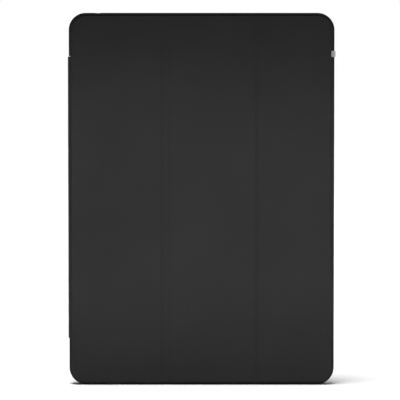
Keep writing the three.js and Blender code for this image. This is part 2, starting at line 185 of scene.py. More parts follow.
def add_camera():
    data = bpy.data.cameras.new("camera")
    data.lens = CAMERA_LENS
    data.sensor_width = SENSOR
    data.clip_end = 30
    camera = link(bpy.data.objects.new("camera", data))
    middle = HEIGHT / 2
    camera.location = Vector((AIM_X, COVER_FACE - CAMERA_DISTANCE, middle + CAMERA_RISE)) * MM
    look_at(camera, Vector((AIM_X, COVER_FACE, middle - AIM_DROP)) * MM)
    bpy.context.scene.camera = camera


def add_softbox(name, place, target, size, power):
    """A soft rectangular light in metres and watts, which the camera doesn't see."""
    data = bpy.data.lights.new(name, "AREA")
    data.shape = "RECTANGLE"
    data.size, data.size_y = size
    data.energy = power
    light = link(bpy.data.objects.new(name, data))
    light.location = place
    look_at(light, target)
    light.visible_camera = False
    return light


def add_floor():
    bm = bmesh.new()
    bmesh.ops.create_grid(bm, x_segments=8, y_segments=8, size=FLOOR_HALF)
    mesh = bpy.data.meshes.new("floor")
    bm.to_mesh(mesh)
    bm.free()
    floor = link(bpy.data.objects.new("floor", mesh))
    return floor


# ---- mesh helpers ----


def spread(low, high, steps):
    return [low + (high - low) * step / steps for step in range(steps + 1)]


def smoothstep(value):
    value = min(max(value, 0.0), 1.0)
    return value * value * (3 - 2 * value)


def outline_ring(inset, y):
    """The case's front outline, drawn in by some distance, at one depth."""
    radius = OUTER_CORNER - inset
    side, top = HALF_WIDTH - OUTER_CORNER, HEIGHT - OUTER_CORNER
    ring = []
    for x, z, start in ((side, top, 0), (-side, top, 90), (-side, OUTER_CORNER, 180),
                        (side, OUTER_CORNER, 270)):
        for angle in spread(start, start + 90, CORNER_STEPS):
            turn = math.radians(angle)
            ring.append((x + radius * math.cos(turn), y, z + radius * math.sin(turn)))
    return ring


def pill(length, width, steps=8, corner=None):
    """A rounded rectangle in its own plane, with full round ends unless corner says less."""
    radius = width / 2 if corner is None else corner
    across, up = length / 2 - radius, width / 2 - radius
    ring = []
    for u, v, start in ((across, up, 0), (-across, up, 90), (-across, -up, 180),
                        (across, -up, 270)):
        for angle in spread(start, start + 90, steps):
            turn = math.radians(angle)
            ring.append((u + radius * math.cos(turn), v + radius * math.sin(turn)))
    return ring


def loft(bm, rings, closed=False):
    """Joins rings of equal length with quads. Ends are capped, or the last ring meets the first."""
    made = [[bm.verts.new(point) for point in ring] for ring in rings]
    pairs = list(zip(made, made[1:]))
    if closed:
        pairs.append((made[-1], made[0]))
    for first, second in pairs:
        for index in range(len(first)):
            after = (index + 1) % len(first)
            bm.faces.new((first[index], first[after], second[after], second[index]))
    if not closed:
        bm.faces.new(made[0])
        bm.faces.new(made[-1])


def finish_mesh(bm, name):
    """Closes off a mesh built in millimetres as an object in metres, smooth but for its corners."""
    bmesh.ops.remove_doubles(bm, verts=bm.verts, dist=MERGE_DISTANCE)
    bmesh.ops.dissolve_degenerate(bm, dist=MERGE_DISTANCE, edges=bm.edges)
    bmesh.ops.recalc_face_normals(bm, faces=bm.faces)
    bmesh.ops.scale(bm, vec=(MM, MM, MM), verts=bm.verts)
    for face in bm.faces:
        face.smooth = True
    for edge in bm.edges:
        edge.smooth = len(edge.link_faces) == 2 and edge.calc_face_angle(0) < SHARP_ANGLE
    mesh = bpy.data.meshes.new(name)
    bm.to_mesh(mesh)
    bm.free()
    return link(bpy.data.objects.new(name, mesh))


def cut_away(bm, cutters):
    """The mesh less the cutters, each of them a closed mesh."""
    def as_object(part):
        bmesh.ops.recalc_face_normals(part, faces=part.faces)
        mesh = bpy.data.meshes.new("part")
        part.to_mesh(mesh)
        part.free()
        return link(bpy.data.objects.new("part", mesh))

    body = as_object(bm)
    tools = [as_object(cutter) for cutter in cutters]
    for tool in tools:
        modifier = body.modifiers.new("cut", "BOOLEAN")
        modifier.object = tool
        modifier.operation = "DIFFERENCE"
        modifier.solver = "EXACT"
    bpy.context.view_layer.update()
    evaluated = body.evaluated_get(bpy.context.evaluated_depsgraph_get())
    result = bmesh.new()
    result.from_mesh(evaluated.to_mesh())
    evaluated.to_mesh_clear()
    for part in (body, *tools):
        mesh = part.data
        bpy.data.objects.remove(part)
        bpy.data.meshes.remove(mesh)
    return result


def box_mesh(x0, x1, y0, y1, z0, z1):
    bm = bmesh.new()
    loft(bm, [[(x0, y, z0), (x1, y, z0), (x1, y, z1), (x0, y, z1)] for y in (y0, y1)])
    return bm


def sleeve_mesh(rings, place):
    """A closed mesh through flat rings, each with its depth, put in place by a function."""
    bm = bmesh.new()
    loft(bm, [[place(u, v, depth) for u, v in ring] for ring, depth in rings])
    return bm


def on_bottom(x):
    return lambda u, v, depth: (x + u, BAY_MIDDLE + v, depth)


def on_top(x):
    return lambda u, v, depth: (x + u, BAY_MIDDLE + v, HEIGHT - depth)


def on_right(z):
    return lambda u, v, depth: (HALF_WIDTH - depth, BAY_MIDDLE + v, z + u)


def on_back(x, z):
    return lambda u, v, depth: (x + u, BACK_FACE - depth, z + v)


# ---- the tray ----

PORT = (0.0, 15.0, 6.2)
SPEAKERS = ((-52.0, 28.0, 5.0), (52.0, 28.0, 5.0))
TOP_HOLES = ((-68.0, 8.0), (0.0, 3.0))
MOUTH_ROUND = 0.7
FRONT_ROUND = 0.75
REAR_ROUND = 1.7
BUTTON_WIDTH = 4.4
BUTTON_CLEARANCE = 0.3
BUTTON_FLANGE = 0.7
BUTTON_MOUTH = 0.35
FLANGE_FROM_BAY = 0.2


def mouth_rings(length, width, gap, mouth, steps):
    """Rings that narrow from a rounded mouth to an opening with a gap round it."""
    rings = [(pill(length + 2 * (gap + mouth), width + 2 * (gap + mouth)), -BEYOND)]
    for a in spread(0, math.pi / 2, steps):
        grow = gap + mouth - mouth * math.sin(a)
        rings.append((pill(length + 2 * grow, width + 2 * grow), mouth * (1 - math.cos(a))))
    return rings


def opening(length, width, place):
    """A cutter for an opening through a wall, with a rounded mouth."""
    rings = mouth_rings(length, width, 0, MOUTH_ROUND, 5)
    rings.append((pill(length, width), WALL + PAST_WALL))
    return sleeve_mesh(rings, place)


def button_hole(length, place):
    """A cutter for a button: its neck through the wall and the room for its flange inside."""
    gap = BUTTON_CLEARANCE
    flange = gap + BUTTON_FLANGE
    floor = WALL - FLANGE_FROM_BAY - BUTTON_FLANGE - gap
    rings = mouth_rings(length, BUTTON_WIDTH, gap, BUTTON_MOUTH, 4)
    rings += [(pill(length + 2 * gap, BUTTON_WIDTH + 2 * gap), floor),
              (pill(length + 2 * flange, BUTTON_WIDTH + 2 * flange), floor),
              (pill(length + 2 * flange, BUTTON_WIDTH + 2 * flange), WALL + PAST_WALL)]
    return sleeve_mesh(rings, place)


def button_places():
    """Name, length and place of each button, from the CAD covers."""
    places = []
    for node, length_axis in (("power_button_cover", 0), ("volume_up_cover", 2),
                              ("volume_down_cover", 2)):
        low, high = corners(node)
        length = high[length_axis] - low[length_axis] - 2 * BUTTON_FLANGE
        middle = (high[length_axis] + low[length_axis]) / 2
        places.append((node, length, on_top(middle) if length_axis == 0 else on_right(middle)))
    return places


def tray_mesh():
    """The tray as one skin: in over the bay, under and over the lip, and round the outside."""
    fillet, lip = 0.3, WALL + LIP_OVERHANG
    path = [(WALL + fillet + 0.6, PLATE_FACE), (WALL + fillet, PLATE_FACE),
            (WALL + 0.1, PLATE_FACE - 0.1), (WALL, PLATE_FACE - fillet),
            (WALL, BAY_FRONT + fillet), (WALL + 0.1, BAY_FRONT + 0.1), (WALL + fillet, BAY_FRONT)]
    edge = 0.3
    path += [(lip - edge, BAY_FRONT)]
    path += [(lip - edge + edge * math.sin(a), BAY_FRONT - edge + edge * math.cos(a))
             for a in spread(math.pi / 6, math.pi / 2, 3)]
    path += [(lip - edge + edge * math.cos(a), LIP_FACE + edge - edge * math.sin(a))
             for a in spread(0, math.pi / 2, 4)]
    path += [(FRONT_ROUND + 0.25, LIP_FACE)]
    path += [(FRONT_ROUND * (1 - math.sin(a)), LIP_FACE + FRONT_ROUND * (1 - math.cos(a)))
             for a in spread(0, math.pi / 2, 6)]
    path += [(0, LIP_FACE + FRONT_ROUND + 0.3), (0, BACK_FACE - REAR_ROUND - 0.3)]
    path += [(REAR_ROUND * (1 - math.cos(a)), BACK_FACE - REAR_ROUND * (1 - math.sin(a)))
             for a in spread(0, math.pi / 2, 8)]
    path += [(REAR_ROUND + 0.5, BACK_FACE)]
    bm = bmesh.new()
    loft(bm, [outline_ring(inset, y) for inset, y in path])
    return bm


def seat_cutters():
    """The seat of the spine in the left wall and of the bonded strip in the back."""
    low, high = SPINE_LOW - SEAT_GAP, SPINE_HIGH + SEAT_GAP
    left, right = SPINE_FACE - SEAT_OVERRUN, ANCHOR_RIGHT + SEAT_GAP
    side = box_mesh(left, SEAT_X, LIP_FACE - BEYOND, BACK_FACE + BEYOND, low, high)
    middle = (left + right) / 2
    ring = pill(right - left, high - low, 6, PLAN_ROUND + SEAT_GAP)
    place = on_back(middle, (low + high) / 2)
    back = sleeve_mesh([(ring, -BEYOND), (ring, BACK_FACE - ANCHOR_SEAT)], place)
    return [side, back]


def camera_centre():
    return ((COLLAR_LOW[0] + COLLAR_HIGH[0]) / 2, (COLLAR_LOW[2] + COLLAR_HIGH[2]) / 2)


def camera_cutter():
    """A cutter for the camera opening: bevelled mouth, the collar's seat, then the hole."""
    bevel = 0.25
    seat, hole = 2 * (COLLAR_RADIUS + 0.1), 2 * CAMERA_RADIUS
    mouth = seat + 2 * bevel
    depth = BACK_FACE - COLLAR_LOW[1] + 0.05
    rings = [(pill(size, size, ROUND_HOLE_STEPS), down) for size, down in (
        (mouth, -BEYOND), (mouth, 0.0), (seat, bevel), (seat, depth), (hole, depth),
        (hole, WALL + PAST_PLATE))]
    return sleeve_mesh(rings, on_back(*camera_centre()))


def make_tray():
    """The tray with everything that is cut through or into it."""
    x, length, width = PORT
    cutters = seat_cutters() + [camera_cutter(), opening(length, width, on_bottom(x))]
    cutters += [opening(length, width, on_bottom(x)) for x, length, width in SPEAKERS]
    cutters += [opening(size, size, on_top(x)) for x, size in TOP_HOLES]
    cutters += [button_hole(length, place) for _, length, place in button_places()]
    return finish_mesh(cut_away(tray_mesh(), cutters), "tray")


def make_tray_lining():
    """The microfibre on the tray's floor, with a hole for the camera opening."""
    inset, edge = WALL + 0.3, 0.15
    rings = [outline_ring(inset + 0.6, LINING_BACK), outline_ring(inset, LINING_BACK),
             outline_ring(inset, LINING_FACE + edge), outline_ring(inset + edge, LINING_FACE),
             outline_ring(inset + 0.8, LINING_FACE)]
    bm = bmesh.new()
    loft(bm, rings)
    hole = 2 * (CAMERA_RADIUS + LINING_FROM_CAMERA)
    ring = pill(hole, hole, ROUND_HOLE_STEPS)
    cutter = sleeve_mesh([(ring, 0.0), (ring, 4.0)], on_back(*camera_centre()))
    return finish_mesh(cut_away(bm, [cutter]), "tray_lining")


def make_camera_ring():
    """A turned ring: rounded rim, shallow dished face, conical throat."""
    inner, outer = CAMERA_RADIUS, COLLAR_RADIUS
    front, back = COLLAR_LOW[1], COLLAR_HIGH[1]
    rim = 0.35
    profile = [(inner, front), (outer, front), (outer, back - rim)]
    profile += [(outer - rim * (1 - math.cos(a)), back - rim * (1 - math.sin(a)))
                for a in spread(math.pi / 10, math.pi / 2, 4)]
    profile += [(outer - 0.6, back), (outer - 0.75, back - 0.08), (inner + 0.75, back - 0.08),
                (inner + 0.6, back), (inner + 0.45, back), (inner + 0.3, back - 0.06),
                (inner + 0.05, back - 0.4), (inner, back - 0.55)]
    x, z = camera_centre()
    rings = []
    for turn in spread(0, 2 * math.pi, 72)[:-1]:
        rings.append([(x + r * math.cos(turn), y, z + r * math.sin(turn)) for r, y in profile])
    bm = bmesh.new()
    loft(bm, rings, closed=True)
    return finish_mesh(bm, "camera_ring")


def make_button(name, length, place):
    """A button cover: flange inside the wall, neck, rounded rim and a shallow dish for the finger."""
    rim = 0.45
    rings = [(BUTTON_FLANGE - 0.2, WALL - FLANGE_FROM_BAY), (BUTTON_FLANGE, WALL - 0.3),
             (BUTTON_FLANGE, WALL - 0.15 - BUTTON_FLANGE),
             (0.0, WALL - FLANGE_FROM_BAY - BUTTON_FLANGE),
             (0.0, rim + 0.2)]
    rings += [(-rim * (1 - math.cos(a)), rim * (1 - math.sin(a)))
              for a in spread(0, math.pi / 2, 5)]
    rings += [(-rim - 0.25, 0.02), (-rim - 0.6, 0.12), (-rim - 0.95, 0.2), (-rim - 1.3, 0.23)]
    sleeves = [(pill(length + 2 * grow, BUTTON_WIDTH + 2 * grow), depth) for grow, depth in rings]
    return finish_mesh(sleeve_mesh(sleeves, place), name)


# ---- the band: front bend, spine, rear bend and the strip bonded to the tray's back ----


def corner_reach(angle, across, along):
    """How far a ray runs from a bend's centre to the square inner corner round it."""
    rises = ((across, abs(math.cos(angle))), (along, abs(math.sin(angle))))
    return min(length / share for length, share in rises if share > 1e-6)


def bend_stations(centre, radius, start, end, across, along):
    """Outer and inner points round a bend, with a station on the inner corner."""
    corner = math.atan2(along, across)
    turn = math.pi + corner if max(start, end) > math.pi else math.pi - corner
    angles = sorted(spread(start, end, BEND_STEPS) + [turn], reverse=start > end)
    stations = []
    for angle in angles:
        ray = (math.cos(angle), math.sin(angle))
        reach = corner_reach(angle, across, along)
        stations.append(((centre[0] + radius * ray[0], centre[1] + radius * ray[1]),
                         (centre[0] + reach * ray[0], centre[1] + reach * ray[1])))
    return stations


def band_section(outer, inner, start, end, low, high, outer_round, inner_round):
    """One closed section across the band, between two depths below the outer surface."""
    step = Vector(inner) - Vector(outer)
    depth = step.length + end
    step.normalize()
    a, b = outer_round, inner_round
    turns = spread(0, math.pi / 2, 5)
    points = [(start + a * (1 - math.cos(t)), low + a * (1 - math.sin(t))) for t in turns]
    points += [(depth - b * (1 - math.sin(t)), low + b * (1 - math.cos(t))) for t in turns]
    points += [(depth, low + b + 0.5), (depth, high - b - 0.5)]
    points += [(depth - b * (1 - math.cos(t)), high - b * (1 - math.sin(t))) for t in turns]
    points += [(start + a * (1 - math.sin(t)), high - a * (1 - math.cos(t))) for t in turns]
    points += [(start, high - a - 0.4), (start, low + a + 0.4)]
    return [(outer[0] + step.x * d, outer[1] + step.y * d, z) for d, z in points]


def band_stations(piece):
    """Outer and inner points along one piece of the band."""
    front_across, front_along = SPINE_BACK - FRONT_CENTRE[0], FRONT_INNER_Y - FRONT_CENTRE[1]
    rear_across, rear_along = SPINE_BACK - REAR_CENTRE[0], ANCHOR_BACK - REAR_CENTRE[1]
    if piece == "front_bend":
        flat = [((x, COVER_FACE), (x, FRONT_INNER_Y))
                for x in spread(FRONT_CUT_X, FRONT_CENTRE[0], 2)[:-1]]
        curve = bend_stations(FRONT_CENTRE, FRONT_BEND, 1.5 * math.pi, math.pi,
                              abs(front_across), abs(front_along))
        return flat + curve + [((SPINE_FACE, FRONT_CUT_Y), (SPINE_BACK, FRONT_CUT_Y))]
    if piece == "spine":
        return [((SPINE_FACE, y), (SPINE_BACK, y)) for y in spread(FRONT_CUT_Y, REAR_CUT_Y, 6)]
    if piece == "rear_bend":
        curve = bend_stations(REAR_CENTRE, REAR_BEND, math.pi, 0.5 * math.pi,
                              abs(rear_across), abs(rear_along))
        flat = [((x, ANCHOR_FACE), (x, ANCHOR_BACK))
                for x in spread(REAR_CENTRE[0], REAR_CUT_X, 2)[1:]]
        return [((SPINE_FACE, REAR_CUT_Y), (SPINE_BACK, REAR_CUT_Y))] + curve + flat
    return [((x, ANCHOR_FACE), (x, ANCHOR_BACK)) for x in spread(REAR_CUT_X, ANCHOR_RIGHT, 2)]


def band_skin_mesh(piece):
    """The skin along one piece of the band, less the depth that its lining takes."""
    rings = []
    for outer, inner in band_stations(piece):
        outer_round = BAND_ROUND
        if piece == "front_bend":
            near_cover = smoothstep((outer[0] - FRONT_CENTRE[0] + ROUND_EASE) / ROUND_EASE)
            outer_round = BAND_ROUND * (1 - near_cover) + ROUND_BY_COVER * near_cover
        rings.append(band_section(outer, inner, 0, -BAND_LINING, SPINE_LOW, SPINE_HIGH,
                                  outer_round, BAND_INNER_ROUND))
    bm = bmesh.new()
    loft(bm, rings)
    return bm


def make_band_lining(piece, name):
    """The lining along one piece of the band, a little shorter than the skin at both ends."""
    rings = [band_section(outer, inner, (Vector(inner) - Vector(outer)).length - BAND_LINING, 0,
                          SPINE_LOW + BAND_LINING_INSET, SPINE_HIGH - BAND_LINING_INSET,
                          BURIED_ROUND, BAND_LINING_ROUND)
             for outer, inner in band_stations(piece)]
    bm = bmesh.new()
    loft(bm, rings)
    return finish_mesh(bm, name)


def make_spine_cover():
    """The spine's skin, with a pocket that leaves a little room round the stiffener."""
    under, beside, end = 0.03, 0.04, 0.1
    pocket = box_mesh(STIFFENER_LOW[0] - under, SPINE_BACK + PAST_WALL,
                      STIFFENER_LOW[1] - beside, STIFFENER_HIGH[1] + beside,
                      STIFFENER_LOW[2] - end, STIFFENER_HIGH[2] + end)
    return finish_mesh(cut_away(band_skin_mesh("spine"), [pocket]), "spine_cover")


def make_anchor_strip():
    """The strip bonded to the tray's back, with rolled edges and rounded corners in plan."""
    roll = 0.5
    spots = [(x, 0.0) for x in spread(REAR_CUT_X, ANCHOR_RIGHT - PLAN_ROUND - 0.5, 2)]
    for a in spread(0, math.pi / 2, 10):
        spots.append((ANCHOR_RIGHT - PLAN_ROUND * (1 - math.sin(a)),
                      PLAN_ROUND * (1 - math.cos(a))))
    rings = []
    for x, plan in spots:
        left = max(roll - (ANCHOR_RIGHT - x), 0)
        sink = roll - math.sqrt(roll * roll - left * left)
        rings.append(band_section((x, ANCHOR_FACE - sink), (x, ANCHOR_BACK), 0, 0,
                                  SPINE_LOW + plan, SPINE_HIGH - plan,
                                  min(BAND_ROUND, 0.9 - sink), 0.1))
    bm = bmesh.new()
    loft(bm, rings)
    return finish_mesh(bm, "anchor_strip")


# ---- the cover ----


def groove_share(x, flat, far):
    """1 in the middle of the nearer fold, easing to 0 on either side."""
    away = min(abs(x - FOLD_1_X), abs(x - FOLD_2_X))
    return 1 - smoothstep((away - flat) / (far - flat))


def cut_fold_strips(bm):
    """Cuts a sheet of the cover into fine strips across each fold."""
    for fold in (FOLD_1_X, FOLD_2_X):
        for offset in spread(-WEB_HALF, WEB_HALF, FOLD_STRIPS):
            bmesh.ops.bisect_plane(bm, geom=bm.verts[:] + bm.edges[:] + bm.faces[:],
                                   plane_co=(fold + offset, 0, 0), plane_no=(1, 0, 0))


def press_grooves(bm):
    """Presses the folds' grooves into the cover's skin, and lowers its wall across them."""
    cut_fold_strips(bm)
    for vert in bm.verts:
        x, y, _ = vert.co
        face_shift = GROOVE * groove_share(x, GROOVE_FLAT, GROOVE_REACH)
        wall_dip = SKIN_BACK + GROOVE - SKIN_WALL_BACK
        wall_shift = wall_dip * groove_share(x, WALL_DIP_FLAT, DIP_REACH)
        share = min(max((y - SKIN_BACK) / (SKIN_WALL_BACK - SKIN_BACK), 0), 1)
        vert.co.y += face_shift * (1 - share) + wall_shift * share


def slice_of(bm, left, right):
    """The stretch of a closed mesh between two x places, capped where it is cut."""
    part = bm.copy()
    for x, normal in ((left, -1), (right, 1)):
        if x is None:
            continue
        bmesh.ops.bisect_plane(part, geom=part.verts[:] + part.edges[:] + part.faces[:],
                               plane_co=(x, 0, 0), plane_no=(normal, 0, 0), clear_outer=True)
    rim = [edge for edge in part.edges if edge.is_boundary]
    bmesh.ops.holes_fill(part, edges=rim, sides=0)
    return part


def cover_skin_mesh():
    """The cover's outer skin: a shallow tray whose turned-up wall hides the boards' edges."""
    roll, inner = EDGE_ROLL, COVER_INSET + BORDER
    path = [(COVER_INSET + roll + 0.5, COVER_FACE)]
    path += [(COVER_INSET + roll * (1 - math.sin(a)), COVER_FACE + roll * (1 - math.cos(a)))
             for a in spread(0, math.pi / 2, 6)]
    path += [(COVER_INSET, SKIN_WALL_BACK - 0.35), (COVER_INSET, SKIN_WALL_BACK - 0.2),
             (COVER_INSET + 0.06, SKIN_WALL_BACK - 0.06), (COVER_INSET + 0.2, SKIN_WALL_BACK),
             (inner - 0.1, SKIN_WALL_BACK), (inner, SKIN_WALL_BACK - 0.1),
             (inner, SKIN_BACK), (inner + 0.4, SKIN_BACK)]
    bm = bmesh.new()
    loft(bm, [outline_ring(inset, y) for inset, y in path])
    press_grooves(bm)
    return bm


def cover_lining_mesh():
    """The cover's microfibre lining, which dips to the skin at the folds."""
    back, front, edge = COVER_BACK, COVER_BACK - LINING, 0.15
    path = [(LINING_INSET + 0.4, front), (LINING_INSET, front), (LINING_INSET, back - edge),
            (LINING_INSET + edge, back), (LINING_INSET + 0.7, back)]
    bm = bmesh.new()
    loft(bm, [outline_ring(inset, y) for inset, y in path])
    cut_fold_strips(bm)
    drop = SKIN_BACK + GROOVE + LINING_DIP_GAP - front
    for vert in bm.verts:
        vert.co.y += drop * groove_share(vert.co.x, LINING_DIP_FLAT, DIP_REACH)
    return bm


COVER_CUTS = (("panel_1", None, FOLD_1_X - WEB_HALF),
              ("fold_1_web", FOLD_1_X - WEB_HALF, FOLD_1_X + WEB_HALF),
              ("panel_2", FOLD_1_X + WEB_HALF, FOLD_2_X - WEB_HALF),
              ("fold_2_web", FOLD_2_X - WEB_HALF, FOLD_2_X + WEB_HALF),
              ("panel_3", FOLD_2_X + WEB_HALF, None))


def make_cover():
    """The cover's skin and lining, in rigid panels and the soft webs between them."""
    skin, lining = cover_skin_mesh(), cover_lining_mesh()
    made = {}
    for name, left, right in COVER_CUTS:
        part = slice_of(skin, left, right)
        if name == "panel_1":
            notch = box_mesh(SPINE_FACE - BEYOND, FRONT_CUT_X, COVER_FACE - BEYOND, LIP_FACE,
                             SPINE_LOW - BAND_CLEARANCE, SPINE_HIGH + BAND_CLEARANCE)
            part = cut_away(part, [notch])
        if name == "panel_3":
            inside, beside, end = 0.3, 0.05, 0.08
            slot = box_mesh(TAG_LOW[0] - inside, HALF_WIDTH + BEYOND,
                            TAG_LOW[1] - beside, TAG_HIGH[1] + beside,
                            TAG_LOW[2] - end, TAG_HIGH[2] + end)
            part = cut_away(part, [slot])
        suffix = "" if name.startswith("fold") else "_cover"
        made[name] = finish_mesh(part, name + suffix)
        made[name + "_lining"] = finish_mesh(slice_of(lining, left, right), name + "_inner")
    skin.free()
    lining.free()
    return made


# ---- the pull tag ----


def make_tag():
    """A loop of woven tape: two leaves from the cover's edge, folded at the outer end."""
    low, high = TAG_LOW, TAG_HIGH
    middle = (low[1] + high[1]) / 2
    tape = 0.4
    reach = (high[1] - low[1]) / 2 - tape / 2
    tip = high[0] - reach - tape / 2
    line = [((x, middle - reach), (0, -1)) for x in spread(low[0], tip, 6)[:-1]]
    line += [((tip + reach * math.sin(a), middle - reach * math.cos(a)),
              (math.sin(a), -math.cos(a))) for a in spread(0, math.pi, 10)]
    line += [((x, middle + reach), (0, 1)) for x in spread(tip, low[0], 6)[1:]]
    half, edge = tape / 2, 0.14
    rings = []
    for (x, y), (nx, ny) in line:
        section = []
        for u, v, start in ((high[2] - edge, half - edge, 0), (low[2] + edge, half - edge, 90),
                            (low[2] + edge, edge - half, 180), (high[2] - edge, edge - half, 270)):
            for a in spread(start, start + 90, 3):
                turn = math.radians(a)
                section.append((u + edge * math.cos(turn), v + edge * math.sin(turn)))
        rings.append([(x + nx * d, y + ny * d, z) for z, d in section])
    bm = bmesh.new()
    loft(bm, rings)
    return finish_mesh(bm, "tag_loop")


# ---- materials ----


SOCKET_PLACES = {"first": 0, "second": 1, "third": 2}


def add_node(tree, kind, settings=None, **inputs):
    """A shader node. Each input takes a value or another node's output.

    Inputs are named by their socket, or by its place where several sockets share a name.
    """
    made = tree.nodes.new("ShaderNode" + kind)
    for key, value in (settings or {}).items():
        setattr(made, key, value)
    for key, value in inputs.items():
        socket = made.inputs[SOCKET_PLACES.get(key, key.replace("_", " "))]
        if isinstance(value, bpy.types.NodeSocket):
            tree.links.new(value, socket)
        else:
            socket.default_value = value
    return made


class Surface:
    """A material under construction: its tree, its coordinates and its shader."""

    def __init__(self, name):
        self.material = bpy.data.materials.new(name)
        self.material.use_nodes = True
        self.tree = self.material.node_tree
        self.shader = self.tree.nodes["Principled BSDF"]
        self.coords = self.node("TexCoord").outputs

    def node(self, kind, settings=None, **inputs):
        return add_node(self.tree, kind, settings, **inputs)

    def math(self, operation, first, second=0.0, clamp=False):
        settings = {"operation": operation, "use_clamp": clamp}
        return self.node("Math", settings, first=first, second=second).outputs[0]

    def stretched(self, scale):
        """Object coordinates scaled along each axis."""
        return self.node("Mapping", Vector=self.coords["Object"], Scale=scale).outputs[0]

    def noise(self, scale, detail=2.0, roughness=0.5, distortion=0.0, vector=None):
        made = self.node("TexNoise", Vector=vector or self.coords["Object"], Scale=scale,
                         Detail=detail, Roughness=roughness, Distortion=distortion)
        return made.outputs[0]

    def cells(self, scale):
        return self.node("TexVoronoi", Vector=self.coords["Object"], Scale=scale).outputs[0]

    def waves(self, scale, direction, distortion=0.0, vector=None, kind="BANDS"):
        settings = {"wave_type": kind}
        settings["bands_direction" if kind == "BANDS" else "rings_direction"] = direction
        made = self.node("TexWave", settings, Vector=vector or self.coords["Object"],
                         Scale=scale, Distortion=distortion)
        made.inputs["Detail Scale"].default_value = 2.0
        return made.outputs["Fac"]

    def ramp(self, value, low, high, to_low=0.0, to_high=1.0):
        made = self.node("MapRange", {"clamp": True}, Value=value)
        for socket, number in zip(("From Min", "From Max", "To Min", "To Max"),
                                  (low, high, to_low, to_high)):
            made.inputs[socket].default_value = number
        return made.outputs[0]

    def mix(self, share, first, second):
        """One colour over another. The node's colour sockets follow those for other types."""
        made = self.node("Mix", {"data_type": "RGBA"}, first=share)
        for index, value in ((6, first), (7, second)):
            if isinstance(value, bpy.types.NodeSocket):
                self.tree.links.new(value, made.inputs[index])
            else:
                made.inputs[index].default_value = (*value, 1)
        return made.outputs[2]

    def rolled_edges(self):
        """1 where the surface turns halfway between facing the front or back and a side."""
        facing = self.node("SeparateXYZ", Vector=self.coords["Normal"]).outputs["Y"]
        facing = self.math("ABSOLUTE", facing)
        turned = self.math("SUBTRACT", 1.0, facing)
        return self.math("MULTIPLY", self.math("MULTIPLY", facing, turned), 4.0, clamp=True)

    def bumps(self, *layers):
        """Stacks (height, distance in metres) layers into one normal."""
        normal = None
        for height, distance in layers:
            made = self.node("Bump", Height=height, Distance=distance)
            if normal:
                self.tree.links.new(normal, made.inputs["Normal"])
            normal = made.outputs[0]
        self.tree.links.new(normal, self.shader.inputs["Normal"])

    def finish(self, colour, roughness, **fixed):
        self.tree.links.new(colour, self.shader.inputs["Base Color"])
        self.tree.links.new(roughness, self.shader.inputs["Roughness"])
        for key, value in fixed.items():
            self.shader.inputs[key.replace("_", " ")].default_value = value
        return self.material


def silicone_material():
    """Soft-touch charcoal silicone: fine pebbled grain with painted shade in its valleys, faint
    clouding, rubbed edges, dust.
    """
    s = Surface("silicone")
    cloud = s.noise(38, 4, 0.6)
    patch = s.noise(14, 4, 0.6, 0.5)
    # cells for the grain's bump and for the painted shade in its valleys
    grain_cells_and_painted_shade = s.cells(2100)
    fine = s.noise(6200, 3, 0.6)
    rub = s.math("MULTIPLY", s.rolled_edges(), s.ramp(s.noise(160, 4, 0.65), 0.35, 0.65), clamp=True)
    colour = s.mix(s.ramp(cloud, 0.3, 0.7), (0.0071, 0.0072, 0.0075), (0.0108, 0.0109, 0.0113))
    # painted shade: each cell darkens towards its edge, where the bump's valleys lie
    colour = s.mix(s.ramp(grain_cells_and_painted_shade, 0.15, 0.7, 0.0, 0.55), colour, (0.0042, 0.0042, 0.0044))
    colour = s.mix(s.math("MULTIPLY", rub, 0.45), colour, (0.026, 0.026, 0.027))
    dust = s.ramp(s.noise(1500, 3, 0.7), 0.74, 0.79, 0.0, 0.3)
    colour = s.mix(dust, colour, (0.055, 0.055, 0.054))
    rough = s.ramp(patch, 0.3, 0.7, 0.475, 0.525)
    rough = s.math("SUBTRACT", rough, s.math("MULTIPLY", rub, 0.1))
    s.bumps((s.math("POWER", grain_cells_and_painted_shade, 1.5), -0.000055), (fine, 0.000014))
    return s.finish(colour, rough, Specular_IOR_Level=0.28)


def moulding_material():
    """Satin moulded plastic with a fine spark-eroded texture and handling marks."""
    s = Surface("tray_moulding")
    cloud = s.noise(26, 3, 0.6)
    spark = s.noise(2900, 4, 0.75)
    pits = s.cells(1700)
    rub = s.math("MULTIPLY", s.rolled_edges(), s.ramp(s.noise(120, 5, 0.7), 0.38, 0.64), clamp=True)
    colour = s.mix(s.ramp(cloud, 0.3, 0.7), (0.0042, 0.0043, 0.0046), (0.0062, 0.0063, 0.0066))
    colour = s.mix(s.ramp(spark, 0.4, 0.62, 0.0, 0.4), colour, (0.0105, 0.0106, 0.011))
    colour = s.mix(s.math("MULTIPLY", rub, 0.4), colour, (0.018, 0.018, 0.0185))
    scuffs = s.noise(55, 6, 0.75, 1.2, s.stretched((1, 1, 0.25)))
    scuff_mask = s.ramp(scuffs, 0.58, 0.68)
    rough = s.math("ADD", s.ramp(cloud, 0.3, 0.7, 0.4, 0.5),
                   s.math("MULTIPLY", scuff_mask, 0.1))
    rough = s.math("SUBTRACT", rough, s.math("MULTIPLY", rub, 0.12))
    s.bumps((spark, 0.00006), (pits, 0.00003))
    return s.finish(colour, rough, Specular_IOR_Level=0.24)


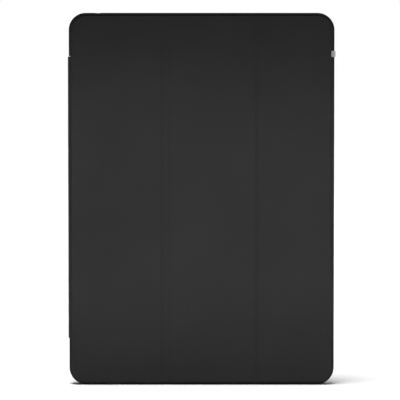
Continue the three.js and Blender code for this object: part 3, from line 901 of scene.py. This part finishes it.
def microfibre_material():
    """Brushed microfibre: short nap lying in soft patches, with a sheen."""
    s = Surface("microfibre")
    nap = s.noise(70, 3, 0.6, 1.5, s.stretched((1, 1, 0.45)))
    fibre = s.noise(2400, 4, 0.7, 0.6, s.stretched((1, 1, 0.3)))
    lint = s.ramp(s.noise(900, 4, 0.7, 2.0), 0.7, 0.78, 0.0, 0.35)
    colour = s.mix(s.ramp(nap, 0.35, 0.65), (0.042, 0.043, 0.047), (0.062, 0.063, 0.068))
    colour = s.mix(s.ramp(fibre, 0.35, 0.65, 0.0, 0.4), colour, (0.095, 0.096, 0.1))
    colour = s.mix(lint, colour, (0.13, 0.13, 0.13))
    rough = s.ramp(fibre, 0.3, 0.7, 0.82, 0.97)
    s.bumps((nap, 0.00006), (fibre, 0.00007))
    return s.finish(colour, rough, Sheen_Weight=0.35, Sheen_Roughness=0.5,
                    Specular_IOR_Level=0.2)


def ring_material():
    """Polished black ring with fine turned lines round its middle."""
    s = Surface("collar_gloss")
    x, z = camera_centre()
    centred = s.node("VectorMath", {"operation": "SUBTRACT"}, first=s.coords["Object"],
                     second=(x * MM, 0, z * MM)).outputs[0]
    lines = s.waves(900, "Y", vector=centred, kind="RINGS")
    smudge = s.noise(420, 4, 0.6, 0.8)
    colour = s.mix(s.ramp(smudge, 0.4, 0.7), (0.006, 0.006, 0.007), (0.011, 0.011, 0.012))
    rough = s.ramp(smudge, 0.35, 0.7, 0.14, 0.3)
    s.bumps((lines, 0.000004), (s.noise(3000), 0.000002))
    return s.finish(colour, rough, Coat_Weight=0.4, Coat_Roughness=0.08)


def tape_material():
    """Plain woven tape: ribs across its width, fine warp along it, and painted shade between the
    threads.
    """
    s = Surface("woven_tape")
    weft = s.waves(560, "X", 0.6)
    warp = s.waves(760, "Z", 0.8)
    weave_and_painted_shade = s.math("MULTIPLY", weft, warp)
    fuzz = s.noise(5200, 4, 0.7)
    # painted shade: darker where the weave is low, between the threads
    colour = s.mix(s.ramp(weave_and_painted_shade, 0.0, 0.7), (0.27, 0.27, 0.265), (0.56, 0.56, 0.545))
    colour = s.mix(s.ramp(fuzz, 0.4, 0.7, 0.0, 0.35), colour, (0.66, 0.65, 0.63))
    rough = s.ramp(fuzz, 0.3, 0.7, 0.8, 0.95)
    s.bumps((weave_and_painted_shade, 0.00008), (fuzz, 0.00002))
    return s.finish(colour, rough, Sheen_Weight=0.2)


def board_material():
    """Grey fibre board: long pulp fibres and dark and pale flecks."""
    s = Surface("board")
    pulp = s.noise(300, 6, 0.75, 0.6, s.stretched((1, 1, 0.3)))
    flecks = s.cells(900)
    colour = s.mix(s.ramp(pulp, 0.3, 0.7), (0.21, 0.2, 0.17), (0.32, 0.305, 0.26))
    colour = s.mix(s.ramp(flecks, 0.0, 0.12, 0.6, 0.0), colour, (0.09, 0.085, 0.075))
    rough = s.ramp(pulp, 0.3, 0.7, 0.75, 0.9)
    s.bumps((pulp, 0.00005))
    return s.finish(colour, rough)


def metal_material(name, dark, light, smooth, rough_high, streaks):
    """Bare metal with fine scratches along the case's long side."""
    s = Surface(name)
    scratch = s.noise(2500, 3, 0.6, 0.0, s.stretched((1, 1, streaks)))
    bloom = s.noise(180, 3, 0.6)
    colour = s.mix(s.ramp(bloom, 0.3, 0.7), dark, light)
    rough = s.ramp(scratch, 0.3, 0.7, smooth, rough_high)
    s.bumps((scratch, 0.000006))
    return s.finish(colour, rough, Metallic=1.0)


def floor_material():
    """Plain pale paper, barely clouded."""
    s = Surface("floor")
    soft = s.noise(3, 2)
    colour = s.mix(s.ramp(soft, 0.3, 0.7), (0.88, 0.88, 0.88), (0.9, 0.9, 0.9))
    rough = s.ramp(soft, 0.3, 0.7, 0.9, 1.0)
    return s.finish(colour, rough, Specular_IOR_Level=0.0)


# ---- the studio ----

CEILING_STRENGTH = 0.48
SUN_STRENGTH = 2.95
ROOM_STRENGTH = 0.06
CEILING_START = 0.55
CEILING_FULL = 0.95
KEY_SPREAD = 20
SUN_ANGLE = 18
SUN_PLACE = (-0.1, -0.11, 1.0)

# place, target, width and height, power
KEY_LIGHT = ((-0.03, -0.4, 0.115), (-0.01, 0, 0.114), (0.35, 0.19), 0.042)
HAIR_LIGHT = ((0, -0.22, 0.5), (0, 0, 0.22), (0.4, 0.1), 0.16)
BACK_LIGHT = ((1.0, 1.8, 1.2), (0, 0, 0.1), (1.2, 1.2), 10)


def add_world():
    """White for the camera. For light, a bright ceiling above a dim room."""
    world = bpy.data.worlds.new("studio")
    world.use_nodes = True
    bpy.context.scene.world = world
    tree = world.node_tree
    background = tree.nodes["Background"]
    output = tree.nodes["World Output"]
    direction = add_node(tree, "TexCoord").outputs["Generated"]
    height = add_node(tree, "SeparateXYZ", Vector=direction).outputs["Z"]
    ceiling = add_node(tree, "MapRange", {"clamp": True, "interpolation_type": "SMOOTHSTEP"},
                       Value=height)
    for socket, value in (("From Min", CEILING_START), ("From Max", CEILING_FULL),
                          ("To Min", ROOM_STRENGTH), ("To Max", CEILING_STRENGTH)):
        ceiling.inputs[socket].default_value = value
    tree.links.new(ceiling.outputs[0], background.inputs["Strength"])
    seen = add_node(tree, "Background", Strength=1.0)
    seen.inputs["Color"].default_value = (1, 1, 1, 1)
    background.inputs["Color"].default_value = (1, 1, 1, 1)
    path = add_node(tree, "LightPath").outputs["Is Camera Ray"]
    choose = add_node(tree, "MixShader", first=path, second=background.outputs[0],
                      third=seen.outputs[0])
    tree.links.new(choose.outputs[0], output.inputs["Surface"])


def add_lights():
    """A key that the cover reflects, a high sun for the shadow, and lights for top and back."""
    key = add_softbox("key", *KEY_LIGHT)
    key.data.spread = math.radians(KEY_SPREAD)
    data = bpy.data.lights.new("sun", "SUN")
    data.energy = SUN_STRENGTH
    data.angle = math.radians(SUN_ANGLE)
    sun = link(bpy.data.objects.new("sun", data))
    sun.location = SUN_PLACE
    sun.visible_glossy = False
    look_at(sun, (0, 0, 0))
    add_softbox("hair", *HAIR_LIGHT)
    add_softbox("back", *BACK_LIGHT)


# ---- assembly ----


def wear(obj, material):
    obj.data.materials.clear()
    obj.data.materials.append(material)


def main():
    add_camera()
    bpy.context.scene.view_settings.view_transform = "Standard"
    wear(add_floor(), floor_material())
    add_world()
    add_lights()

    finishes = {
        "silicone_skin": silicone_material(),
        "tray_moulding": moulding_material(),
        "microfibre": microfibre_material(),
        "collar_gloss": ring_material(),
        "woven_tape": tape_material(),
        "board": board_material(),
        "magnet_plating": metal_material("magnet_plating", (0.5, 0.49, 0.46), (0.6, 0.59, 0.56),
                                         0.22, 0.36, 0.4),
        "spring_steel": metal_material("spring_steel", (0.3, 0.31, 0.33), (0.4, 0.41, 0.43),
                                       0.3, 0.45, 0.04),
    }

    def dress(obj, slot, body=None, *nodes):
        wear(obj, finishes[slot])
        if body:
            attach(obj, body)
        if nodes:
            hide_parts(*nodes)
        return obj

    dress(make_tray(), "tray_moulding", "shell", "back_shell")
    dress(make_tray_lining(), "microfibre", "shell", "shell_lining")
    dress(make_camera_ring(), "collar_gloss", "shell", "camera_collar")
    dress(make_anchor_strip(), "silicone_skin", "shell", "spine_anchor")

    dress(make_spine_cover(), "silicone_skin", "spine", "spine_skin")
    dress(make_band_lining("spine", "spine_inner"), "microfibre", "spine", "spine_lining")
    for piece in ("front_bend", "rear_bend"):
        skin = dress(finish_mesh(band_skin_mesh(piece), piece + "_skin"), "silicone_skin")
        lining = dress(make_band_lining(piece, piece + "_inner"), "microfibre")
        blend_bend(skin)
        blend_bend(lining)

    cover = make_cover()
    for number in (1, 2, 3):
        body = f"panel_{number}"
        dress(cover[body], "silicone_skin", body, f"{body}_skin")
        dress(cover[body + "_lining"], "microfibre", body, f"{body}_lining")
    for number, fold in ((1, FOLD_1_X), (2, FOLD_2_X)):
        web = f"fold_{number}_web"
        dress(cover[web], "silicone_skin")
        dress(cover[web + "_lining"], "microfibre")
        for piece in (cover[web], cover[web + "_lining"]):
            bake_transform(piece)

    dress(make_tag(), "woven_tape", "panel_3", "pull_tag")
    bodies = {"power_button_cover": "power_button", "volume_up_cover": "volume_up_button",
              "volume_down_cover": "volume_down_button"}
    for node, length, place in button_places():
        name = node.replace("_cover", "_cap")
        dress(make_button(name, length, place), "tray_moulding", bodies[node], node)

    carried = {"spine_stiffener": "board", "keeper_strip": "spring_steel",
               "wake_magnet": "magnet_plating"}
    carried.update({f"closure_magnet_{number}": "magnet_plating" for number in range(1, 6)})
    carried.update({f"panel_{number}_board": "board" for number in range(1, 4)})
    for node, slot in carried.items():
        wear(frame["nodes"][node], finishes[slot])


def blend_bend(obj):
    """Bakes the place of a quarter bend, between the two parts of the case that it joins, into its
    mesh; it is not made to bend.

    Both hinges turn about -Z.
    """
    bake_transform(obj)


main()
